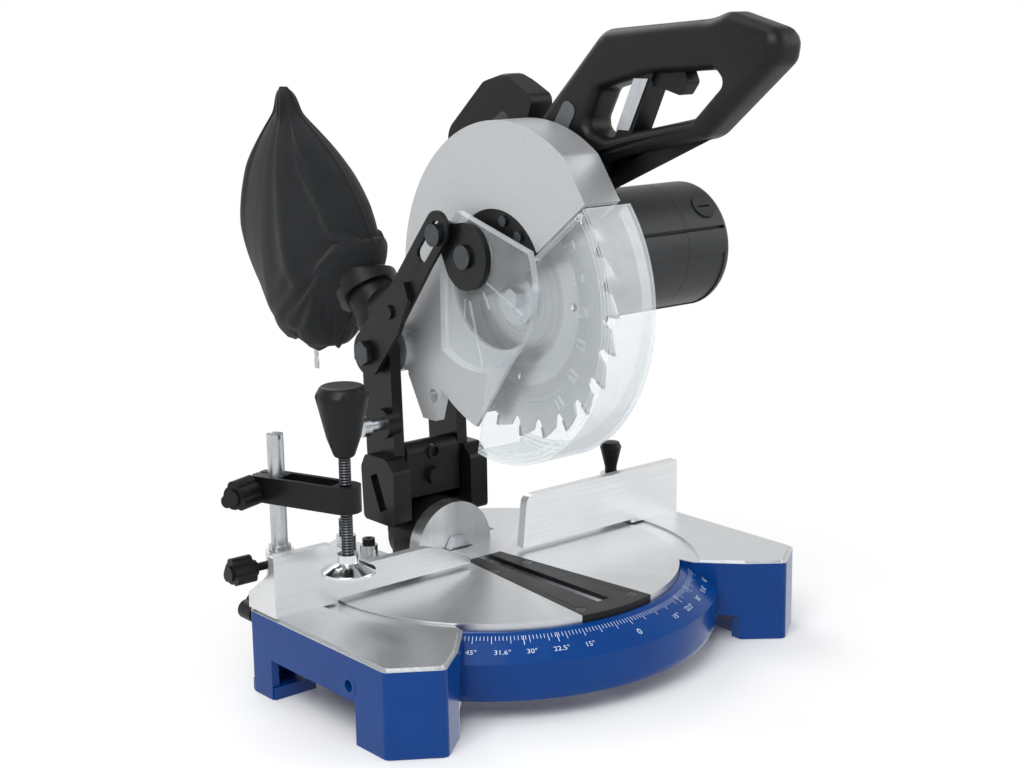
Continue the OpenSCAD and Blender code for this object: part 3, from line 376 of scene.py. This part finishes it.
# %% Blade steel
arbor = Vector((0, -0.036, 0.274)) + pivot
ground, tree, shader = surface("ring_ground_blade_steel", "#b3b6b9", Metallic=1.0)
where = add(tree, "ShaderNodeTexCoord")
centred = add(tree, "ShaderNodeVectorMath", {0: where.outputs["Object"]}, {1: arbor}, operation="SUBTRACT")
far = add(tree, "ShaderNodeVectorMath", {0: centred.outputs[0]}, operation="LENGTH")
ring = add(tree, "ShaderNodeTexNoise", {"W": far.outputs["Value"]}, {"Scale": 1000 / 1.1, "Detail": 3},
           noise_dimensions="1D")
tenths = add(tree, "ShaderNodeMath", {0: far.outputs["Value"]}, {1: 10.0}, operation="MULTIPLY")
band = add(tree, "ShaderNodeValToRGB", {0: tenths.outputs[0]})
for stop, code in ((0.47, "#84878b"), (0.5, "#c6c8ca"), (0.64, "#c0c2c5"), (0.67, "#85888c"),
                   (0.8, "#9fa2a5")):
    band.color_ramp.elements.new(stop).color = ink(code)
band.color_ramp.elements[0].color = ink("#8d9094")
band.color_ramp.elements[-1].color = ink("#b4b7ba")
tone = add(tree, "ShaderNodeMix", {0: ring.outputs[0], 6: band.outputs[0]}, {7: ink("#cdcfd1")},
           data_type="RGBA")
dull = add(tree, "ShaderNodeMapRange", {0: ring.outputs[0]}, {3: 0.28, 4: 0.42})
bump = add(tree, "ShaderNodeBump", {"Height": ring.outputs[0]}, {"Strength": 0.15, "Distance": 0.0003})
coat(tree, shader, tone, dull, bump)
print(ground.name)

# %% Threaded steel
def bands(apart):
    # At a scale of 1, Blender's wave repeats after 2 pi / 20 of a metre.
    return 1000 / apart / 20 * 2 * math.pi


threaded, tree, shader = surface("black_oxide_threaded_steel", "#3a3c3f", Metallic=0.85, Roughness=0.34)
where = add(tree, "ShaderNodeTexCoord")
turns = add(tree, "ShaderNodeTexWave", {0: where.outputs["Object"]}, {"Scale": bands(2.0)},
            bands_direction="Z")
# Painted shade and highlight: dark in the thread's roots, light on its crests.
tone = add(tree, "ShaderNodeMix", {0: turns.outputs[1]}, {6: ink("#232527"), 7: ink("#6b6e72")},
           data_type="RGBA")
bump = add(tree, "ShaderNodeBump", {"Height": turns.outputs[1]}, {"Strength": 0.8, "Distance": 0.0008})
coat(tree, shader, tone, bump=bump)
print(threaded.name, "at scale", round(bands(2.0)))

# %% [markdown]
# ## Clear guard
# The lower guard is injection-moulded polycarbonate, 2 mm thick. A sheet that thin hardly bends light,
# so it is drawn as a clear film and a milky gloss: mostly film on the two broad sides, more gloss on the
# rim, on the sides of the raised marks and wherever it is seen edge-on. Three fine moulded steps run round
# near the rim. They are not modelled, and the light they catch is painted as three thin lines of milky
# gloss. Fine scuffs add a little milk.

# %% Polycarbonate
moulded_steps, step_half = (0.1135, 0.1175, 0.1205), 0.0005
clear, tree, shader = surface("moulded_clear_polycarbonate", "#eef2f4", Roughness=0.1,
                              Specular_IOR_Level=0.6)
where = add(tree, "ShaderNodeTexCoord")
scuff = add(tree, "ShaderNodeTexNoise", {0: where.outputs["Object"]}, {"Scale": 1000 / 14, "Detail": 5})
dull = add(tree, "ShaderNodeMapRange", {0: scuff.outputs[0]}, {3: 0.06, 4: 0.2})
tree.links.new(dull.outputs[0], shader.inputs["Roughness"])
edge_on = add(tree, "ShaderNodeLayerWeight", sockets={"Blend": 0.35})
milk = add(tree, "ShaderNodeMapRange", {0: edge_on.outputs["Facing"]}, {1: 0.3, 2: 0.95, 3: 0.0, 4: 0.4})
haze = add(tree, "ShaderNodeMapRange", {0: scuff.outputs[0]}, {1: 0.3, 2: 0.75, 3: 0.0, 4: 0.05})
across = add(tree, "ShaderNodeSeparateXYZ", {0: where.outputs["Normal"]})
broad = add(tree, "ShaderNodeMath", {0: across.outputs["X"]}, operation="ABSOLUTE")
rim = add(tree, "ShaderNodeMapRange", {0: broad.outputs[0]}, {1: 0.25, 2: 0.9, 3: 0.28, 4: 0.1})
added = add(tree, "ShaderNodeMath", {0: milk.outputs[0], 1: haze.outputs[0]}, operation="ADD")
centred = add(tree, "ShaderNodeVectorMath", {0: where.outputs["Object"]}, {1: arbor}, operation="SUBTRACT")
flat = add(tree, "ShaderNodeVectorMath", {0: centred.outputs[0]}, {1: (0, 1, 1)}, operation="MULTIPLY")
far = add(tree, "ShaderNodeVectorMath", {0: flat.outputs[0]}, operation="LENGTH")
steps = added
# Painted highlight: a thin line of milky gloss at each moulded step's radius, for the light it catches.
for radius in moulded_steps:
    step = add(tree, "ShaderNodeMath", {0: far.outputs["Value"]}, {1: radius, 2: step_half},
               operation="COMPARE")
    steps = add(tree, "ShaderNodeMath", {0: step.outputs[0], 2: steps.outputs[0]}, {1: 0.3},
                operation="MULTIPLY_ADD")
total = add(tree, "ShaderNodeMath", {0: steps.outputs[0], 1: rim.outputs[0]}, operation="ADD",
            use_clamp=True)
path = add(tree, "ShaderNodeLightPath")
lit = add(tree, "ShaderNodeMath", {1: path.outputs["Is Shadow Ray"]}, {0: 1.0}, operation="SUBTRACT")
much = add(tree, "ShaderNodeMath", {0: total.outputs[0], 1: lit.outputs[0]}, operation="MULTIPLY")
through = add(tree, "ShaderNodeBsdfTransparent", sockets={"Color": (0.95, 0.96, 0.965, 1)})
both = add(tree, "ShaderNodeMixShader", {0: much.outputs[0], 1: through.outputs[0], 2: shader.outputs[0]})
tree.links.new(both.outputs[0], tree.nodes["Material Output"].inputs["Surface"])
print(clear.name)

# %% [markdown]
# ## Cloth and print
# The bag is plain-woven black polyester with a dull sheen. Its threads are about 0.4 mm apart; two
# crossed bands, drawn 1.1 mm apart so that they show, make the weave. Modelled threads would be too
# many. The scale on the base is printed in pale ink, a little worn.

# %% Polyester cloth
cloth, tree, shader = surface("plain_woven_polyester", "#1c1d1f", Roughness=0.82,
                              Specular_IOR_Level=0.16, Sheen_Weight=0.1, Sheen_Roughness=0.5)
where = add(tree, "ShaderNodeTexCoord")
warp = add(tree, "ShaderNodeTexWave", {0: where.outputs["Object"]},
           {"Scale": bands(1.1), "Distortion": 0.4}, bands_direction="Y")
weft = add(tree, "ShaderNodeTexWave", {0: where.outputs["Object"]},
           {"Scale": bands(1.1), "Distortion": 0.4}, bands_direction="Z")
weave = add(tree, "ShaderNodeMath", {0: warp.outputs[1], 1: weft.outputs[1]}, operation="MULTIPLY")
fade = add(tree, "ShaderNodeTexNoise", {0: where.outputs["Object"]}, {"Scale": 1000 / 50, "Detail": 4})
tone = add(tree, "ShaderNodeMix", {0: fade.outputs[0]}, {6: ink("#111214"), 7: ink("#26282a")},
           data_type="RGBA")
bump = add(tree, "ShaderNodeBump", {"Height": weave.outputs[0]}, {"Strength": 0.25, "Distance": 0.0004})
coat(tree, shader, tone, bump=bump)
print(cloth.name)

# %% Printing ink
print_ink, tree, shader = surface("pale_screen_print", "#c4d6ea", Roughness=0.5)
where = add(tree, "ShaderNodeTexCoord")
worn = add(tree, "ShaderNodeTexNoise", {0: where.outputs["Object"]}, {"Scale": 1000 / 4, "Detail": 3})
tone = add(tree, "ShaderNodeMix", {0: worn.outputs[0]}, {6: ink("#a9c3e2"), 7: ink("#e4edf7")},
           data_type="RGBA")
coat(tree, shader, tone)
print(print_ink.name)

# %% [markdown]
# ## Dressing the solids
# Each solid takes the finish of the real piece. On the larger ones a narrow bevel rounds the drawn
# edges, as casting and moulding do, so that they catch a line of light. It is a modifier, so the mesh
# below it stays as packed. Normals are then weighted by area, which keeps the wide faces flat. Widths
# are in millimetres. The teeth stay crisp.

# %% Finishes
finishes = {
    casting: ("base_casting",), turned: ("turntable",), milled: ("left_fence", "right_fence"),
    silver: ("upper_guard",), clear: ("lower_guard",), cloth: ("dust_bag",), rubber: ("handle_pad",),
    nylon: ("rear_lock_knob", "fence_thumbscrew", "post_lock_knob", "arm_lock_knob", "clamp_knob",
            "table_insert", "bevel_lock_lever", "laser_module", "laser_knob", "gear_housing", "brushes",
            "handle_left", "handle_right", "carry_handle", "switch_block", "dust_port", "bag_collar",
            "trigger", "motor_fan"),
    grey_nylon: ("motor_housing", "motor_end_cap", "brush_caps"),
    blackened: ("fence_bolts", "bevel_stop_bolts", "clamp_arm", "tilt_bracket", "guard_lever",
                "lever_plate", "guard_plate", "guard_carrier"),
    threaded: ("clamp_screw",), ground: ("saw_blade",), bright["ground_carbide"]: ("carbide_tips",),
    bright["blackened_screw_steel"]: ("insert_screws", "carrier_screws", "guard_bolt", "tie_screw",
                                      "hinge_pin"),
    bright["polished_chrome"]: ("clamp_foot",),
    bright["zinc_plated_steel"]: ("clamp_post", "bevel_bolt", "return_spring", "lock_pin", "bearings",
                                  "blade_flanges", "spindle", "drive_gear", "armature", "pivot_bolt",
                                  "strut_plate", "stator"),
}
dressed = 0
for finish, names in finishes.items():
    for name in names:
        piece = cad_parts[name]
        piece.data.materials.clear()
        piece.data.materials.append(finish)
        dressed += 1
print(dressed, "of", len(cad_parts), "solids have a finish")

# %% Rounded edges
weld_within, sharp_from = 2e-6, math.radians(38)
rounding = {
    0.2: ("strut_plate",),
    0.3: ("handle_pad", "lower_guard"),
    0.4: ("motor_housing", "guard_lever", "table_insert", "hinge_pin", "tie_screw", "guard_bolt",
          "clamp_post", "bevel_stop_bolts", "guard_carrier"),
    0.5: ("lock_pin",),
    0.6: ("left_fence", "right_fence", "turntable", "motor_end_cap", "clamp_arm", "clamp_knob",
          "lever_plate", "guard_plate"),
    0.8: ("tilt_bracket", "trigger", "rear_lock_knob", "post_lock_knob", "arm_lock_knob"),
    1.0: ("upper_guard", "laser_module"),
    1.2: ("base_casting", "handle_left", "handle_right", "gear_housing"),
    2.5: ("carry_handle",),
}
for width, name in ((w, n) for w, names in rounding.items() for n in names):
    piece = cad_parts[name]
    weld = piece.modifiers.new("weld", "WELD")
    weld.merge_threshold = weld_within
    edge = piece.modifiers.new("edge", "BEVEL")
    edge.width, edge.segments = width / 1000, 2
    edge.limit_method, edge.angle_limit = "ANGLE", sharp_from
    even = piece.modifiers.new("even", "WEIGHTED_NORMAL")
    even.weight, even.keep_sharp = 90, False
print(sum(len(names) for names in rounding.values()), "solids have rounded edges")

# %% [markdown]
# ## Dust bag
# The bag is two leaf-shaped panels sewn together and gathered on the dust outlet. It is lofted from
# level rings: each ring has a front edge, a back edge and a thickness. Cloth then takes over: with a
# little spare cloth, some air inside and its own weight, it wrinkles by itself between the collar and
# the seams. Each point may move 9 mm at most, so the bag keeps its outline. Where the panels meet, a
# folded welt 2.4 mm thick runs right round.

# %% Loft
levels = np.array([196, 204, 214, 226, 242, 262, 284, 308, 332, 356, 378, 396, 409, 418])
front = np.array([236, 214, 201, 191, 177, 160, 146, 149, 162, 182, 209, 236, 256, 271])
rear = np.array([243, 257, 275, 293, 315, 328, 339, 346, 342, 335, 317, 301, 289, 281])
thick = np.array([4, 13, 21, 28, 34, 38, 40, 39, 36, 32, 26, 19, 11, 4])
rows, columns = 52, 84
passes, fullness = 6, 0.9
heights = np.linspace(levels[0], levels[-1], rows)


def smooth(values):
    line = np.interp(heights, levels, values)
    for _ in range(passes):
        line[1:-1] = (line[:-2] + 2 * line[1:-1] + line[2:]) / 4
    return line


near, away, deep = smooth(front), smooth(rear), smooth(thick)
points = []
for z, a, b, t in zip(heights, near, away, deep):
    for k in range(columns):
        angle = 2 * math.pi * k / columns
        bulge = abs(math.sin(angle)) ** fullness * math.copysign(1, math.sin(angle))
        along = (a + b) / 2 - (b - a) / 2 * math.cos(angle)
        points.append((t * bulge / 1000, along / 1000 + pivot.y, z / 1000))
faces = []
for low in range(0, (rows - 1) * columns, columns):
    for k in range(columns):
        onward = (k + 1) % columns
        faces.append((low + k, low + onward, low + columns + onward, low + columns + k))
faces += [tuple(range(columns - 1, -1, -1)), tuple(range((rows - 1) * columns, rows * columns))]
panel = bpy.data.meshes.new("cloth_bag")
panel.from_pydata(points, [], faces)
bag = bpy.data.objects.new("cloth_bag", panel)
bpy.context.scene.collection.objects.link(bag)
panel.materials.append(cloth)
print(len(points), "points on the bag")

# %% Wrinkles
most_move, steps_run = 0.009, 30
collar_reach, collar_fade, held_rows = 0.034, 0.02, 3
mouth = Vector((0, 0.1592 + pivot.y, 0.2575))
start = np.array(points)
held = bag.vertex_groups.new(name="held")
for i, p in enumerate(points):
    edge = min(i // columns, rows - 1 - i // columns)
    beyond = max(0.0, (Vector(p) - mouth).length - collar_reach)
    grip = max(0.0, 1 - beyond / collar_fade, 1 - edge / held_rows)
    if grip > 0:
        held.add([i], grip, "REPLACE")
drape = bag.modifiers.new("drape", "CLOTH")
drape.settings.quality = 6
drape.settings.mass = 0.2
drape.settings.tension_stiffness = drape.settings.compression_stiffness = 12
drape.settings.shear_stiffness = 6
drape.settings.bending_stiffness = 0.15
drape.settings.shrink_min = -0.09
drape.settings.use_pressure = True
drape.settings.uniform_pressure_force = 1.2
drape.settings.vertex_group_mass = "held"
drape.collision_settings.use_collision = False
drape.point_cache.frame_end = steps_run
for number in range(1, steps_run + 1):
    bpy.context.scene.frame_set(number)
settled = bag.evaluated_get(bpy.context.evaluated_depsgraph_get())
moved = np.array([v.co for v in settled.data.vertices]) - start
size = np.linalg.norm(moved, axis=1, keepdims=True)
moved *= np.minimum(1, most_move / np.maximum(size, 1e-9))
bag.modifiers.remove(drape)
bpy.context.scene.frame_set(1)
panel.vertices.foreach_set("co", (start + moved).astype(np.float32).ravel())
panel.update()
print("cloth moved by up to", round(float(size.max()) * 1000, 1), "mm before the cap")
for face in panel.polygons:
    face.use_smooth = True
rounder = bag.modifiers.new("finer", "SUBSURF")
rounder.levels = rounder.render_levels = 1
print(len(panel.polygons), "faces of cloth")
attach(bag, "head")
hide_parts("dust_bag")

# %% Seam
def plain_mesh(curve):
    return bpy.data.meshes.new_from_object(curve.evaluated_get(bpy.context.evaluated_depsgraph_get()))


welt_radius = 0.0012
loop = [r * columns for r in range(rows)] + [r * columns + columns // 2 for r in reversed(range(rows))]
welt_path = bpy.data.curves.new("seam", "CURVE")
welt_path.dimensions, welt_path.bevel_depth, welt_path.bevel_resolution = "3D", welt_radius, 2
spline = welt_path.splines.new("POLY")
spline.points.add(len(loop) - 1)
for point, i in zip(spline.points, loop):
    point.co = (*panel.vertices[i].co, 1)
spline.use_cyclic_u = True
holder = bpy.data.objects.new("seam", welt_path)
bpy.context.scene.collection.objects.link(holder)
welt_mesh = plain_mesh(holder)
bpy.data.objects.remove(holder)
welt_mesh.name = "bag_seam"
welt_mesh.materials.clear()
welt_mesh.materials.append(cloth)
for face in welt_mesh.polygons:
    face.use_smooth = True
welt = bpy.data.objects.new("bag_seam", welt_mesh)
bpy.context.scene.collection.objects.link(welt)
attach(welt, "head")
print(len(welt_mesh.vertices), "points on the seam")

# %% [markdown]
# ## Mitre scale
# The sloping face of the base carries a printed scale: a line for each degree, longer ones at each
# fifth, and plain numbers at the usual cuts. Thin faces stay sharp close up, where a texture would
# blur. All lie on a cone, so they are placed by radius and angle, 0.15 mm above the paint. The 31.6
# stands beyond its line, clear of the 30.

# %% Lines
cone_radius, cone_top, cone_drop, cone_run = 147, 57.5, 13.5, 25
lines_from, degree_to, fifth_to, cut_to = 149.5, 153.0, 155.5, 157
line_middle, numbers_at = 150, 162.5
slope = math.atan2(cone_drop, cone_run)


def on_cone(radius, degrees, lift=0.15):
    a = math.radians(degrees)
    outward = Vector((math.sin(a), -math.cos(a), 0))
    height = cone_top - (radius - cone_radius) * cone_drop / cone_run
    raised = outward * (radius + lift * math.sin(slope)) + Vector((0, 0, height + lift * math.cos(slope)))
    return raised / 1000 + pivot


def line(degrees, inner, outer, half_width):
    half = math.degrees(half_width / line_middle)
    corners = ((inner, -1), (outer, -1), (outer, 1), (inner, 1))
    marks.faces.new([marks.verts.new(on_cone(r, degrees + s * half)) for r, s in corners])


marks = bmesh.new()
for step in range(-48, 49):
    line(step, lines_from, fifth_to if step % 5 == 0 else degree_to, 0.2)
for step in (-31.6, -22.5, 22.5, 31.6):
    line(step, lines_from, cut_to, 0.25)
print(len(marks.faces), "lines")

# %% Numbers
zero_high, number_high = 0.0075, 0.0058
for value, label in ((0, "0"), (15, "15°"), (22.5, "22.5°"), (30, "30°"), (37.3, "31.6°"), (45, "45°")):
    for hand in ((1,) if value == 0 else (-1, 1)):
        a = math.radians(value * hand)
        writing = bpy.data.curves.new("digits", "FONT")
        writing.body, writing.size = label, zero_high if value == 0 else number_high
        writing.align_x, writing.align_y = "CENTER", "CENTER"
        along = Vector((math.cos(a), math.sin(a), 0))
        uphill = Vector((-math.sin(a) * math.cos(slope), math.cos(a) * math.cos(slope), math.sin(slope)))
        turned_to = Matrix((along, uphill, along.cross(uphill))).transposed().to_4x4()
        holder = bpy.data.objects.new("digits", writing)
        bpy.context.scene.collection.objects.link(holder)
        shape = plain_mesh(holder)
        shape.transform(Matrix.Translation(on_cone(numbers_at, value * hand)) @ turned_to)
        marks.from_mesh(shape)
        bpy.data.objects.remove(holder)
scale_mesh = bpy.data.meshes.new("printed_scale")
marks.to_mesh(scale_mesh)
scale = bpy.data.objects.new("printed_scale", scale_mesh)
scale_mesh.materials.append(print_ink)
bpy.context.scene.collection.objects.link(scale)
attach(scale, "base")
print(len(scale_mesh.polygons), "faces of print")

# %% [markdown]
# ## Zip pull
# A small pull hangs from the zip at the foot of the bag: a bright slider and below it a wider tab. Two
# short lofted tags are enough at this size.

# %% Pull
foot_y = 241
corners = ((-1, -0.7), (-0.6, -1), (0.6, -1), (1, -0.7), (1, 0.7), (0.6, 1), (-0.6, 1), (-1, 0.7))
pull = bmesh.new()
for top, low, wide, thin in ((197, 189, 2.2, 1.4), (190, 179, 3.2, 1.0)):
    ring = []
    for z, grow in ((top, 0.7), ((top + low) / 2, 1.0), (low, 0.85)):
        places = [(x * thin * grow, foot_y + y * wide * grow, z) for x, y in corners]
        ring.append([pull.verts.new(Vector(place) / 1000 + pivot) for place in places])
    for a, b in zip(ring, ring[1:]):
        for k in range(8):
            pull.faces.new((a[k], b[k], b[(k + 1) % 8], a[(k + 1) % 8]))
    pull.faces.new(ring[0])
    pull.faces.new(ring[-1][::-1])
pull.normal_update()
pull_mesh = bpy.data.meshes.new("zip_pull")
pull.to_mesh(pull_mesh)
tab = bpy.data.objects.new("zip_pull", pull_mesh)
pull_mesh.materials.append(bright["zinc_plated_steel"])
bpy.context.scene.collection.objects.link(tab)
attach(tab, "head")
print(len(pull_mesh.polygons), "faces on the zip pull")

# %% [markdown]
# ## Size
# Both boxes are printed: the bare solids' and the dressed part's.

# %% Finish
dressed_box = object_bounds()
for name, box in (("solids", solid_box), ("dressed", dressed_box)):
    print(name, [round(v, 3) for p in box for v in p])
